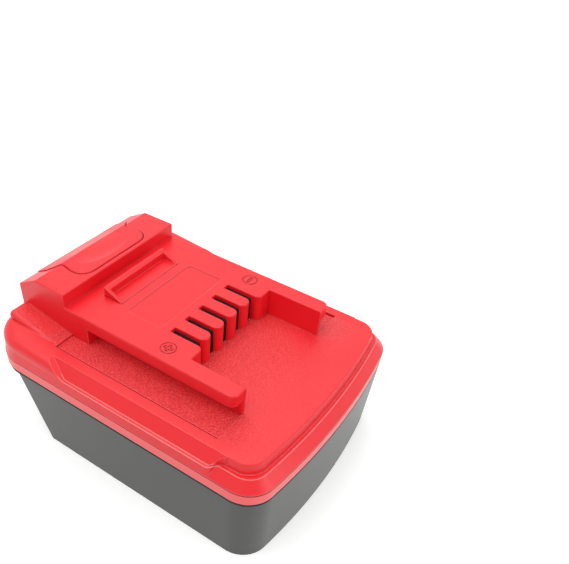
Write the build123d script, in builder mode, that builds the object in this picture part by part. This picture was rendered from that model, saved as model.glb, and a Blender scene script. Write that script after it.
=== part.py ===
from build123d import *
from math import atan, degrees, radians, tan
import os

# Slide-on battery adapter, in millimetres. The origin is on the table, under the middle of
# the adapter. +X runs from the button end to the bowed end and +Z runs up, out of the rails.

# Overall size
length = 100.9
width = 80.0
seam_height = 27.0
overrun = 5.0
touch = 0.3
slack = 0.15

button_end = -length / 2
far_end = length / 2
half_width = width / 2

# Plan of the two shells
bow_depth = 3.6
cover_button_radius = 11.3
base_button_radius = 9.6
far_radius = 8.9
base_button_inset = 1.9

# Base shell
side_draft = 1.4
end_draft = 0.5
base_wall = 3.2
rim_plate = 4.2
shelf_step = 1.0
shelf_height = seam_height - shelf_step
shelf_end = 11.9
slope_foot = 19.7
slope_wall = 5.2
shelf_thickness = 3.0
lip_height = 2.0
seam_gap_height = 0.4
seam_gap_depth = 0.4
cavity_depth = 15.6
floor_thickness = 2.2
tub_wall = 2.2

# Battery cavity, seen from below
cavity_half_width = 25.35
entry_reach = 0.95
entry_half_width = cavity_half_width + entry_reach
entry_end = 25.1
notch_reach = 4.45
notch_half_width = cavity_half_width + notch_reach
notch_end = 30.9
notch_taper_end = 37.1
cavity_inset = 16.8
cavity_corner = 6.0
notch_corner = 1.6
surround_reach = 5.7
surround_half_width = entry_half_width + surround_reach
surround_drop = 5.7
surround_height = seam_height - surround_drop
surround_depth = 2.2
surround_corner = 7.0
surround_round = 0.7
rail_start = 40.1
rail_clear = 8.2
rail_reach = 4.6
rail_half_gap = cavity_half_width - rail_reach
rail_top = 1.1
rail_thickness = 3.7
guide_rib_height = 12.0
guide_rib_thickness = 0.6
guide_rib_depth = 0.6
guide_rib_length = 8.8
guide_rib_start = 45.4
guide_rib_clear = 5.1
guide_rib_count = 3
panel_inset = 5.8
panel_depth = 1.1
panel_corner = 2.0
panel_slot_inset = 4.2
panel_slot_y = -8.05
panel_slot_width = 4.9
panel_slot_depth = 1.6

# Screws through the rim and the shelf
mid_screw_x = 50.7
mid_screw_inset = 5.65
far_screw_back = 8.9
far_screw_inset = 8.5
well_radius = 2.55
well_roof = 6.0
well_depth = seam_height - well_roof
well_boss_radius = 4.5
shelf_screw_x = 8.1
shelf_screw_clear = 6.7
shelf_bore_radius = 2.95
shelf_bore_depth = 1.7
screw_shank_radius = 1.4
screw_hole_radius = 1.75
screw_head_radius = 2.45
screw_head_height = 1.5
screw_recess_radius = 1.1
screw_recess_depth = 0.9
screw_lobe_radius = 0.32
screw_lobes = 6
cover_boss_radius = 3.4
cover_boss_depth = 6.0

# Top cover, whose levels are rises above the seam
cover_wall = 2.0
skirt_rise = 3.7
skirt_height = seam_height + skirt_rise
skirt_line_height = 0.3
skirt_line_depth = 0.3
room_rise = 4.0
room_step = seam_height + room_rise
ledge_rise = 6.8
ledge_height = seam_height + ledge_rise
ceiling_rise = 7.6
ceiling = seam_height + ceiling_rise
channel_rise = 9.7
channel_floor = seam_height + channel_rise
cover_rise = 10.2
cover_top = seam_height + cover_rise
shoulder_rise = 12.4
shoulder_height = seam_height + shoulder_rise
ramp_rise = 14.2
ramp_height = seam_height + ramp_rise
far_ledge_inset = 2.9
far_ledge_width = 1.1
side_ledge_width = 1.5
side_lean = 0.5
side_band_inset = 3.0
room_step_inset = 5.6
jog_start = 81.6
jog_end = 85.9
crown_corner = 10.3
crown_inset = 0.5
crown_round = 0.45
shoulder_start = 24.2
shoulder_foot = 31.0
shoulder_round = 3.0
ramp_start = 2.2
ramp_end = 21.9
ramp_inset = 7.6
ramp_half_width = half_width - ramp_inset
ramp_round = 1.5
channel_half_width = ramp_half_width
channel_inner = 20.8
channel_line_width = 0.7
channel_line_depth = 0.6

# Tool platform on the cover
platform_rise = 19.3
platform_top = seam_height + platform_rise
platform_half_width = 25.4
flange_thickness = 3.9
web_half_width = 21.5
platform_start = 1.5
full_side_end = 28.7
platform_front = 62.6
arm_end = 80.6
arm_half_gap = 20.0
arm_corner = 2.2
edge_round = 0.4
mouth_start = 50.9
mouth_half_width = 14.3
mouth_corner = 2.0
slot_pitch = 6.6
slot_width = 2.2
slot_count = 5
finger_tip = 61.2
finger_round = 2.1
finger_root = 5.0
platform_wall = 2.2
platform_end_wall = 1.1
platform_skin = 1.5
platform_room_end = 59.6
block_rise = 23.8
block_top = seam_height + block_rise
block_end = 20.2
block_bevel_end = 8.6
bevel_foot_rise = 19.9
block_bevel_foot = seam_height + bevel_foot_rise
block_overlap = 0.8
label_start = 35.3
label_length = 12.6
label_half_width = 15.0
label_corner = 1.5
label_depth = 0.2
mark_x = 55.0
mark_y = 20.4
mark_radius = 2.4
mark_arm = 1.5
mark_bar = 1.0
mark_stroke = 0.3
mark_depth = 0.2

# Release latch
latch_travel = 3.2
latch_gap = 0.35
face_foot_rise = 18.5
face_foot = seam_height + face_foot_rise
face_opening = face_foot - latch_travel - latch_gap
button_proud = 0.3
button_tip = 18.6
button_side_x = 13.4
button_half_width = 15.0
button_neck = 14.2
button_neck_x = 9.2
button_flare = 17.9
button_flare_x = 6.2
button_corner = 4.5
button_blend = 1.5
button_skin = 2.2
core_length = 8.0
core_width = 10.0
dish_x = 12.2
dish_depth = 0.8
dish_radius = 14.0
dish_half_length = 11.0
dish_fall = 0.8
tongue_back = 25.2
tongue_front = 31.9
tongue_half_width = 13.6
tongue_rise = 3.0
tongue_wall = 1.4
tongue_rib = 1.0
tongue_gap = 0.2
latch_plate_thickness = 3.0
latch_plate_half_width = 17.5
latch_plate_end = 32.6

# Latch springs and the plate that they stand on
spring_x = 14.0
spring_y = 9.5
spring_wire = 0.6
spring_clear = 0.05
spring_radius = 2.6
spring_turns = 6
spring_post_radius = 1.9
spring_post_height = 2.2
retainer_rise = 4.4
retainer_top = seam_height + retainer_rise
retainer_thickness = 2.0
retainer_start = 5.9
retainer_end = 33.0
retainer_margin = 2.5
retainer_half_width = latch_plate_half_width + retainer_margin
ear_x = 27.0
ear_reach = 28.0
ear_radius = 4.2
ear_boss_radius = 3.0

# Small screws inside
small_shank_radius = 1.1
small_hole_radius = 1.3
small_head_radius = 2.1
small_head_height = 1.3
small_screw_bite = 2.6

# Inlet blades and their carrier
blade_gap = 4.1
blade_length = 14.7
blade_thickness = 0.8
blade_y = 11.65
blade_tip_height = 5.0
blade_tip_chamfer = 0.5
blade_fit = 0.05
carrier_margin = 2.0
carrier_half_width = 16.0
carrier_thickness = 3.0
carrier_round = 1.0
tab_length = 6.0
tab_height = 5.2
clamp_thickness = 2.0
clamp_margin = 1.3
clamp_half_width = 22.4
clamp_screw_y = 19.2
clamp_boss_radius = 2.9

# Terminal block and its clips
terminal_front_gap = 0.2
terminal_length = 11.8
terminal_half_width = 17.6
terminal_rise = 2.3
terminal_base = seam_height + terminal_rise
terminal_flange_thickness = 2.2
terminal_ear_reach = 28.4
terminal_ear_length = 5.8
terminal_ear_overhang = 1.8
terminal_screw_y = 24.4
terminal_boss_radius = 2.9
slit_width = 1.6
clip_pocket_width = 3.8
clip_pocket_back = 2.2
clip_pocket_front = 0.7
clip_pocket_roof = 1.4
clip_thickness = 0.6
clip_spread = 1.45
clip_pinch = 0.75
clip_mouth = 1.2
clip_bite_share = 0.68
clip_end_gap = 0.5
clip_foot = 2.6
tail_width = 3.0
tail_drop = 4.2

# Leads and the resistor
lead_radius = 0.9
lead_drop = 2.1
resistor_radius = 1.15
resistor_length = 6.0
resistor_rise = 0.4
resistor_wire = 0.3


# Both shells are drawn from one plan: straight sides, a bowed far end and rounded corners.
def shell_plan(side, start, crown, start_radius, end_radius):
    with BuildSketch() as plan:
        with BuildLine():
            corner = crown - bow_depth
            Line((corner, side), (start, side))
            Line((start, side), (start, -side))
            Line((start, -side), (corner, -side))
            ThreePointArc((corner, -side), (crown, 0), (corner, side))
        make_face()
        fillet(plan.vertices().group_by(Axis.X)[0], start_radius)
        fillet(plan.vertices().group_by(Axis.X)[-1], end_radius)
    return plan.sketch


cover_plan = shell_plan(half_width, button_end, far_end, cover_button_radius, far_radius)
base_start = button_end + base_button_inset
seam_plan = shell_plan(half_width, base_start, far_end, base_button_radius, far_radius)
rim_plan = shell_plan(
    half_width - side_draft, base_start, far_end - end_draft, base_button_radius, far_radius
)

# The cavity, seen from below, with a notch on each side for the battery's own latch
cavity_end = far_end - cavity_inset
with BuildSketch() as cavity_plan:
    with BuildLine():
        Polyline(
            (button_end, 0),
            (button_end, entry_half_width),
            (button_end + entry_end, entry_half_width),
            (button_end + entry_end, notch_half_width),
            (button_end + notch_end, notch_half_width),
            (button_end + notch_taper_end, cavity_half_width),
            (cavity_end, cavity_half_width),
            (cavity_end, 0),
            close=True,
        )
    make_face()
    fillet(cavity_plan.vertices().group_by(Axis.Y)[-1], notch_corner)
    far_corner = cavity_plan.vertices().group_by(Axis.X)[-1].sort_by(Axis.Y)[-1]
    fillet(far_corner, cavity_corner)
    mirror(about=Plane.XZ)

mid_screw = (button_end + mid_screw_x, half_width - mid_screw_inset)
far_screw = (far_end - far_screw_back, half_width - far_screw_inset)
shelf_screw = (button_end + shelf_screw_x, retainer_half_width + shelf_screw_clear)
rim_screw_places = [mid_screw, far_screw, (mid_screw[0], -mid_screw[1]), (far_screw[0], -far_screw[1])]
shelf_screw_places = [shelf_screw, (shelf_screw[0], -shelf_screw[1])]

floor_top = cavity_depth + floor_thickness
shelf_top = shelf_height + shelf_thickness
blade_far = cavity_end - blade_gap
blade_near = blade_far - blade_length
blade_centre = blade_far - blade_length / 2
carrier_top = floor_top + carrier_thickness
clamp_top = carrier_top + clamp_thickness
clamp_screw_places = [(blade_centre, clamp_screw_y), (blade_centre, -clamp_screw_y)]

# Room inside the base, round the tub that the cavity is sunk in
with BuildPart() as base_room:
    with BuildSketch(Plane.XY.offset(rim_plate)):
        offset(seam_plan, amount=-base_wall)
    extrude(amount=seam_height + overrun - rim_plate)
    with BuildSketch(Plane.XZ):
        with BuildLine():
            Polyline(
                (button_end, 0),
                (button_end + slope_foot + slope_wall, 0),
                (button_end + shelf_end + slope_wall, shelf_height),
                (button_end + shelf_end + slope_wall, shelf_top),
                (button_end, shelf_top),
                close=True,
            )
        make_face()
    extrude(amount=width, both=True, mode=Mode.SUBTRACT)
    with BuildSketch():
        offset(cavity_plan.sketch, amount=tub_wall, kind=Kind.INTERSECTION)
    extrude(amount=floor_top, mode=Mode.SUBTRACT)
    with BuildSketch(Plane.XY.offset(rim_plate)):
        with Locations(*rim_screw_places):
            Circle(well_boss_radius)
    extrude(amount=seam_height - rim_plate, mode=Mode.SUBTRACT)
    with BuildSketch(Plane.XY.offset(floor_top)):
        with Locations(*clamp_screw_places):
            Circle(clamp_boss_radius)
    extrude(amount=carrier_thickness, mode=Mode.SUBTRACT)

# The surround is a shallow U-shaped rebate in the sloped end, round the battery's way in
with BuildPart() as surround:
    with BuildSketch(Plane.YZ.offset(button_end)):
        with Locations((0, surround_height / 2 - overrun / 2)):
            Rectangle(2 * surround_half_width, surround_height + overrun)
    extrude(amount=slope_foot + slope_wall)
    fillet(surround.edges().filter_by(Axis.X).group_by(Axis.Z)[-1], surround_corner)
    with BuildSketch(Plane.XZ):
        with BuildLine():
            run_per_rise = (slope_foot - shelf_end) / shelf_height
            Polyline(
                (button_end - overrun, -overrun),
                (button_end + slope_foot + surround_depth + run_per_rise * overrun, -overrun),
                (button_end + shelf_end + surround_depth, shelf_height),
                (button_end - overrun, shelf_height),
                close=True,
            )
        make_face()
    extrude(amount=width, both=True, mode=Mode.INTERSECT)
    fillet(surround.edges().group_by(Axis.X)[-1], surround_round)

# Base shell: one black moulding with the rim, the tub, the shelf and the screw bosses
with BuildPart() as base_shell:
    with BuildSketch():
        add(rim_plan)
    with BuildSketch(Plane.XY.offset(seam_height)):
        add(seam_plan)
    loft(ruled=True)
    with BuildSketch(Plane.XZ):
        with BuildLine():
            Polyline(
                (button_end - overrun, 0),
                (button_end + slope_foot, 0),
                (button_end + shelf_end, shelf_height),
                (button_end - overrun, shelf_height),
                close=True,
            )
        make_face()
    extrude(amount=width, both=True, mode=Mode.SUBTRACT)
    add(base_room.part, mode=Mode.SUBTRACT)
    add(surround.part, mode=Mode.SUBTRACT)
    with BuildSketch():
        add(cavity_plan.sketch)
    extrude(amount=cavity_depth, mode=Mode.SUBTRACT)
    # Shadow gap under the edge of the cover
    with BuildSketch(Plane.XY.offset(seam_height)):
        offset(seam_plan, amount=touch)
        offset(seam_plan, amount=-seam_gap_depth, mode=Mode.SUBTRACT)
    extrude(amount=-seam_gap_height, mode=Mode.SUBTRACT)
    # Lip that the cover drops over, and the raised inside of the shelf
    with BuildSketch(Plane.XY.offset(seam_height)):
        offset(cover_plan, amount=-cover_wall - slack)
        offset(cover_plan, amount=-base_wall, mode=Mode.SUBTRACT)
        with Locations(*rim_screw_places):
            Circle(cover_boss_radius + slack, mode=Mode.SUBTRACT)
    extrude(amount=lip_height)
    with BuildSketch(Plane.XY.offset(seam_height)):
        offset(cover_plan, amount=-cover_wall - slack)
        with Locations((button_end + (shelf_end + slope_wall) / 2, 0)):
            Rectangle(shelf_end + slope_wall, width, mode=Mode.INTERSECT)
    extrude(amount=shelf_top - seam_height)
    # Rails that hold the battery, hooked under by its own grooves
    rail_length = cavity_end - rail_clear - (button_end + rail_start)
    rail_middle = button_end + rail_start + rail_length / 2
    with BuildSketch(Plane.XY.offset(rail_top)):
        with Locations(
            (rail_middle, rail_half_gap + rail_reach / 2),
            (rail_middle, -rail_half_gap - rail_reach / 2),
        ):
            Rectangle(rail_length, rail_reach)
    extrude(amount=rail_thickness)
    # Short guide ribs low on each side of the cavity, spread along it
    rib_span = cavity_end - guide_rib_clear - guide_rib_length - (button_end + guide_rib_start)
    guide_rib_pitch = rib_span / (guide_rib_count - 1)
    rib_places = []
    for rib in range(guide_rib_count):
        rib_x = button_end + guide_rib_start + guide_rib_length / 2 + rib * guide_rib_pitch
        rib_places.append((rib_x, cavity_half_width - guide_rib_depth / 2))
        rib_places.append((rib_x, guide_rib_depth / 2 - cavity_half_width))
    with BuildSketch(Plane.XY.offset(guide_rib_height)):
        with Locations(*rib_places):
            Rectangle(guide_rib_length, guide_rib_depth)
    extrude(amount=guide_rib_thickness)
    # Sunk panel behind the cavity, with a round-ended groove in it
    panel_length = cavity_inset - panel_inset
    with BuildSketch() as panel:
        with Locations((far_end - panel_inset - panel_length / 2, 0)):
            Rectangle(panel_length, 2 * cavity_half_width)
        fillet(panel.vertices().group_by(Axis.X)[-1], panel_corner)
    extrude(amount=panel_depth, mode=Mode.SUBTRACT)
    groove_end = far_end - panel_slot_inset
    with BuildSketch():
        with Locations((groove_end - panel_slot_width / 2, panel_slot_y)):
            Circle(panel_slot_width / 2)
        groove_length = groove_end - panel_slot_width / 2 - cavity_end
        with Locations((cavity_end + groove_length / 2, panel_slot_y)):
            Rectangle(groove_length, panel_slot_width)
    extrude(amount=panel_depth + panel_slot_depth, mode=Mode.SUBTRACT)
    # Deep wells for the rim screws, counterbores for the shelf screws
    with BuildSketch():
        with Locations(*rim_screw_places):
            Circle(well_radius)
    extrude(amount=well_depth, mode=Mode.SUBTRACT)
    with BuildSketch():
        with Locations(*rim_screw_places):
            Circle(screw_hole_radius)
    extrude(amount=seam_height, mode=Mode.SUBTRACT)
    with BuildSketch(Plane.XY.offset(shelf_height)):
        with Locations(*shelf_screw_places):
            Circle(shelf_bore_radius)
    extrude(amount=shelf_bore_depth, mode=Mode.SUBTRACT)
    with BuildSketch(Plane.XY.offset(shelf_height)):
        with Locations(*shelf_screw_places):
            Circle(screw_hole_radius)
    extrude(amount=shelf_thickness + overrun, mode=Mode.SUBTRACT)
    # Slits for the blades and pilot holes for the clamp screws
    with BuildSketch(Plane.XY.offset(cavity_depth)):
        with Locations((blade_centre, blade_y), (blade_centre, -blade_y)):
            Rectangle(blade_length + 2 * blade_fit, blade_thickness + 2 * blade_fit)
    extrude(amount=floor_thickness, mode=Mode.SUBTRACT)
    with BuildSketch(Plane.XY.offset(carrier_top)):
        with Locations(*clamp_screw_places):
            Circle(small_hole_radius)
    extrude(amount=-small_screw_bite - touch, mode=Mode.SUBTRACT)

crown_height = cover_top - ledge_height
crown_ledge_inset = far_ledge_inset + far_ledge_width

# Raised end of the cover round the button: its top slopes down to the rail channels
with BuildPart() as shoulder:
    shoulder_radius = cover_button_radius - side_lean
    with BuildSketch(Plane.XY.offset(ledge_height)):
        add(shell_plan(half_width - side_lean, button_end + side_lean, far_end, shoulder_radius, far_radius))
    extrude(amount=shoulder_height - ledge_height)
    with BuildSketch(Plane.XZ):
        with BuildLine():
            Polyline(
                (button_end - overrun, ledge_height - overrun),
                (button_end + shoulder_foot, ledge_height - overrun),
                (button_end + shoulder_foot, ledge_height),
                (button_end + shoulder_start, cover_top),
                (button_end - overrun, shoulder_height),
                close=True,
            )
        make_face()
    extrude(amount=width, both=True, mode=Mode.INTERSECT)
    shoulder_rim = shoulder.faces().sort_by(Axis.Z)[-1].edges()
    fillet(shoulder_rim.sort_by(Axis.X)[:-1], shoulder_round)

# Ramp from the shoulder up to the button block, ending level with the shoulder
shoulder_fall = (shoulder_height - cover_top) / (shoulder_start + overrun)
ramp_end_height = cover_top + shoulder_fall * (shoulder_start - ramp_end)
with BuildPart() as ramp:
    with BuildSketch(Plane.XZ):
        with BuildLine():
            Polyline(
                (button_end + ramp_start, ledge_height),
                (button_end + ramp_start, ramp_height),
                (button_end + ramp_end, ramp_end_height),
                (button_end + ramp_end, ledge_height),
                close=True,
            )
        make_face()
    extrude(amount=ramp_half_width, both=True)
    ramp_back = ramp.faces().sort_by(Axis.X)[0]
    fillet(ramp_back.edges().filter_by(Axis.Z), ramp_round)
    fillet(ramp.faces().sort_by(Axis.X)[0].edges().group_by(Axis.Z)[-1], ramp_round)

# The jog before the far corners is an S of two equal arcs, parallel to the sides at its ends.
def jog_line(outer_y, inner_y):
    start = Vector(button_end + jog_start, outer_y)
    end = Vector(button_end + jog_end, inner_y)
    first_arc = TangentArc(start, (start + end) / 2, tangent=(1, 0))
    TangentArc((start + end) / 2, end, tangent=first_arc % 1)


# Wider band along the straight sides, which the jog cuts short
with BuildPart() as side_band:
    with BuildSketch(Plane.YZ.offset(button_end + shoulder_start)):
        with BuildLine():
            inner = half_width - side_ledge_width - side_band_inset
            Polyline(
                (half_width - side_ledge_width, ledge_height),
                (inner, cover_top),
                (inner - side_band_inset, cover_top),
                (inner - side_band_inset, ledge_height),
                close=True,
            )
        make_face()
    extrude(amount=jog_end - shoulder_start)
    with BuildSketch(Plane.XY.offset(ledge_height)):
        with BuildLine():
            jog_line(half_width - side_ledge_width, half_width - crown_ledge_inset)
            Polyline(
                (button_end + jog_end, half_width - crown_ledge_inset),
                (button_end + jog_end + overrun, half_width - crown_ledge_inset),
                (button_end + jog_end + overrun, half_width),
                (button_end + jog_start, half_width),
                (button_end + jog_start, half_width - side_ledge_width),
            )
        make_face()
    extrude(amount=crown_height, mode=Mode.SUBTRACT)
    mirror(about=Plane.XZ)

# Crown of the cover inside the ledge
with BuildPart() as crown:
    with BuildSketch(Plane.XY.offset(ledge_height)):
        crown_plan = shell_plan(half_width, button_end, far_end, cover_button_radius, crown_corner)
        offset(crown_plan, amount=-crown_ledge_inset)
    extrude(amount=crown_height, taper=degrees(atan(crown_inset / crown_height)))
    fillet(crown.faces().sort_by(Axis.Z)[-1].edges(), crown_round)

# Plans of the platform, at the level of its flange and below it: arms, mouth and fingers
mouth_width = 2 * mouth_half_width
finger_width = slot_pitch - slot_width
slot_places = []
for slot in range(slot_count):
    slot_places.append((slot - (slot_count - 1) / 2) * slot_pitch)
finger_places = []
for slot_y, next_slot_y in zip(slot_places, slot_places[1:]):
    finger_places.append((slot_y + next_slot_y) / 2)


def platform_plan(side):
    with BuildSketch() as plan:
        with Locations((button_end + (arm_end + finger_root) / 2, 0)):
            Rectangle(arm_end - finger_root, 2 * side)
        with Locations((button_end + (platform_front + arm_end + overrun) / 2, 0)):
            Rectangle(arm_end + overrun - platform_front, 2 * arm_half_gap, mode=Mode.SUBTRACT)
        with Locations((button_end + (mouth_start + platform_front) / 2, 0)):
            Rectangle(platform_front - mouth_start, mouth_width, mode=Mode.SUBTRACT)
        mouth_points = plan.vertices().filter_by_position(
            Axis.X, button_end + platform_front - touch, button_end + platform_front + touch
        )
        mouth_points = mouth_points.filter_by_position(
            Axis.Y, -mouth_half_width - touch, mouth_half_width + touch
        )
        fillet(mouth_points, mouth_corner)
        arm_points = plan.vertices().group_by(Axis.X)[-1].sort_by(Axis.Y)
        fillet([arm_points[0], arm_points[-1]], min(arm_corner, (side - arm_half_gap) / 2))
        for finger_y in finger_places:
            with BuildSketch(mode=Mode.PRIVATE) as finger_plan:
                with Locations((button_end + (mouth_start - finger_root + finger_tip) / 2, finger_y)):
                    Rectangle(finger_tip - mouth_start + finger_root, finger_width)
                fillet(finger_plan.vertices().group_by(Axis.X)[-1], finger_round)
            add(finger_plan.sketch)
    return plan.sketch


flange_plan = platform_plan(platform_half_width)
web_plan = platform_plan(web_half_width)

# Flange of the tool rails, with its top edges eased
with BuildPart() as flange:
    with BuildSketch(Plane.XY.offset(platform_top - flange_thickness)):
        add(flange_plan)
    extrude(amount=flange_thickness)
    fillet(flange.faces().sort_by(Axis.Z)[-1].edges(), edge_round)

# Block that the button sits in
with BuildPart() as block:
    with BuildSketch(Plane.XZ):
        with BuildLine():
            Polyline(
                (button_end + platform_start, platform_top - block_overlap),
                (button_end + platform_start, block_bevel_foot),
                (button_end + block_bevel_end, block_top),
                (button_end + block_end, block_top),
                (button_end + block_end, platform_top - block_overlap),
                close=True,
            )
        make_face()
    extrude(amount=platform_half_width, both=True)
    fillet(block.edges().filter_by_position(Axis.Z, platform_top, block_top + touch), edge_round)

# Outline of the button, flared where it reaches the end of the block
with BuildSketch() as button_plan:
    with BuildLine():
        Polyline(
            (button_end + platform_start, 0),
            (button_end + platform_start, button_flare),
            (button_end + button_flare_x, button_flare),
            (button_end + button_neck_x, button_neck),
            (button_end + button_side_x, button_half_width),
            (button_end + button_tip, button_half_width),
            (button_end + button_tip, 0),
            close=True,
        )
    make_face()
    tip_corner = button_plan.vertices().group_by(Axis.X)[-1].sort_by(Axis.Y)[-1]
    fillet(tip_corner, button_corner)
    neck = button_plan.vertices().filter_by_position(
        Axis.X, button_end + button_neck_x - touch, button_end + button_neck_x + touch
    )
    fillet(neck, button_blend)
    mirror(about=Plane.XZ)

# Shallow thumb dish, cut by a spindle that lies across the button
button_top = block_top + button_proud
dish_level = button_top + dish_radius - dish_depth
with BuildPart() as dish:
    with BuildSketch(Plane.YZ.offset(button_end + dish_x)):
        with BuildLine():
            low = dish_level - dish_radius
            ThreePointArc(
                (-dish_half_length, low + dish_fall), (0, low), (dish_half_length, low + dish_fall)
            )
            Line((dish_half_length, low + dish_fall), (dish_half_length, dish_level))
            Line((dish_half_length, dish_level), (-dish_half_length, dish_level))
            Line((-dish_half_length, dish_level), (-dish_half_length, low + dish_fall))
        make_face()
    revolve(axis=Axis((button_end + dish_x, 0, dish_level), (0, 1, 0)))

room_top = platform_top - platform_skin
boss_base = seam_height + touch / 3
ear_screw_y = ear_reach - ear_radius
ear_screw_places = [(button_end + ear_x, ear_screw_y), (button_end + ear_x, -ear_screw_y)]
terminal_front = button_end + platform_room_end - terminal_front_gap
terminal_middle = terminal_front - terminal_length / 2
terminal_ear_x = terminal_front + terminal_ear_overhang - terminal_ear_length / 2
terminal_screw_places = [(terminal_ear_x, terminal_screw_y), (terminal_ear_x, -terminal_screw_y)]
terminal_flange_top = terminal_base + terminal_flange_thickness
tongue_length = tongue_front - tongue_back
tongue_middle = button_end + tongue_back + tongue_length / 2

# Top cover: one red moulding with the skirt, the rails, the block and the bosses inside
with BuildPart() as top_cover:
    with BuildSketch(Plane.XY.offset(seam_height)):
        add(cover_plan)
    extrude(amount=skirt_height - seam_height)
    with BuildSketch(Plane.XY.offset(skirt_height)):
        add(cover_plan)
    skirt_slope = ledge_height - skirt_height
    extrude(amount=skirt_slope, taper=degrees(atan(far_ledge_inset / skirt_slope)))
    with BuildSketch(Plane.XY.offset(skirt_height)):
        add(cover_plan)
        with BuildLine():
            jog_line(half_width, half_width - far_ledge_inset)
            jog_line(-half_width, far_ledge_inset - half_width)
            Line(
                (button_end + jog_end, half_width - far_ledge_inset),
                (button_end + jog_end, far_ledge_inset - half_width),
            )
            Polyline(
                (button_end + jog_start, -half_width),
                (button_end - overrun, -half_width),
                (button_end - overrun, half_width),
                (button_end + jog_start, half_width),
            )
        make_face(mode=Mode.INTERSECT)
    extrude(amount=skirt_slope, taper=degrees(atan(side_lean / skirt_slope)))
    # Fine groove round the skirt, where its upright foot meets the slope
    with BuildSketch(Plane.XY.offset(skirt_height)):
        offset(cover_plan, amount=touch)
        offset(cover_plan, amount=-skirt_line_depth, mode=Mode.SUBTRACT)
    extrude(amount=-skirt_line_height, mode=Mode.SUBTRACT)
    add(crown.part)
    add(side_band.part)
    add(shoulder.part)
    add(ramp.part)
    # Sunk floors of the two rail channels
    channel_length = arm_end - ramp_end
    channel_reach = channel_half_width - channel_inner
    channel_middle = channel_inner + channel_reach / 2
    with BuildSketch(Plane.XY.offset(channel_floor)):
        with Locations(
            (button_end + ramp_end + channel_length / 2, channel_middle),
            (button_end + ramp_end + channel_length / 2, -channel_middle),
        ):
            Rectangle(channel_length, channel_reach)
    extrude(amount=overrun, mode=Mode.SUBTRACT)
    # Fine groove along the outer side of each channel
    line_middle = channel_half_width - channel_line_width / 2
    with BuildSketch(Plane.XY.offset(channel_floor)):
        with Locations(
            (button_end + ramp_end + channel_length / 2, line_middle),
            (button_end + ramp_end + channel_length / 2, -line_middle),
        ):
            Rectangle(channel_length, channel_line_width)
    extrude(amount=-channel_line_depth, mode=Mode.SUBTRACT)
    # Platform: full-height side, webs, flange and block
    with BuildSketch(Plane.XY.offset(ceiling)):
        with Locations((button_end + (platform_start + full_side_end) / 2, 0)):
            Rectangle(full_side_end - platform_start, 2 * platform_half_width)
    extrude(amount=platform_top - edge_round - ceiling)
    with BuildSketch(Plane.XY.offset(ceiling)):
        add(web_plan)
    extrude(amount=platform_top - flange_thickness - ceiling)
    add(flange.part)
    add(block.part)
    # Room inside: the wide space over the seam, then the space inside the platform
    with BuildSketch(Plane.XY.offset(seam_height)):
        offset(cover_plan, amount=-cover_wall)
    extrude(amount=room_step - seam_height, mode=Mode.SUBTRACT)
    with BuildSketch(Plane.XY.offset(room_step)):
        offset(cover_plan, amount=-room_step_inset)
    extrude(amount=ceiling - room_step, mode=Mode.SUBTRACT)
    room_start = button_end + platform_start + platform_end_wall
    platform_room = button_end + platform_room_end - room_start
    room_half_width = web_half_width - platform_wall
    with BuildSketch(Plane.XY.offset(ceiling)):
        with Locations((room_start + platform_room / 2, 0)):
            Rectangle(platform_room, 2 * room_half_width)
    extrude(amount=room_top - ceiling, mode=Mode.SUBTRACT)
    # Pocket for the button, open at the end of the block, and the hole for the tongue
    with BuildSketch(Plane.XY.offset(room_top)):
        offset(button_plan.sketch, amount=latch_gap)
    extrude(amount=button_top + overrun - room_top, mode=Mode.SUBTRACT)
    with BuildSketch(Plane.XY.offset(face_opening)):
        with Locations((room_start - overrun / 2, 0)):
            Rectangle(overrun, 2 * (button_flare + latch_gap))
    extrude(amount=room_top - face_opening, mode=Mode.SUBTRACT)
    with BuildSketch(Plane.XY.offset(room_top)):
        with Locations((tongue_middle, 0)):
            Rectangle(tongue_length + 2 * tongue_gap, 2 * (tongue_half_width + tongue_gap))
    extrude(amount=overrun, mode=Mode.SUBTRACT)
    # Shallow label recess and the engraved polarity marks
    with BuildSketch(Plane.XY.offset(platform_top)):
        with Locations((button_end + label_start + label_length / 2, 0)):
            RectangleRounded(label_length, 2 * label_half_width, label_corner)
    extrude(amount=-label_depth, mode=Mode.SUBTRACT)
    inner_bar = mark_bar - 2 * mark_stroke
    inner_arm = 2 * mark_arm - 2 * mark_stroke
    with BuildSketch(Plane.XY.offset(platform_top)):
        with Locations((button_end + mark_x, mark_y), (button_end + mark_x, -mark_y)):
            Circle(mark_radius)
            Circle(mark_radius - mark_stroke, mode=Mode.SUBTRACT)
            Rectangle(mark_bar, 2 * mark_arm)
        with Locations((button_end + mark_x, -mark_y)):
            Rectangle(2 * mark_arm, mark_bar)
            Rectangle(inner_arm, inner_bar, mode=Mode.SUBTRACT)
        with Locations((button_end + mark_x, mark_y), (button_end + mark_x, -mark_y)):
            Rectangle(inner_bar, inner_arm, mode=Mode.SUBTRACT)
    extrude(amount=-mark_depth, mode=Mode.SUBTRACT)
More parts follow.
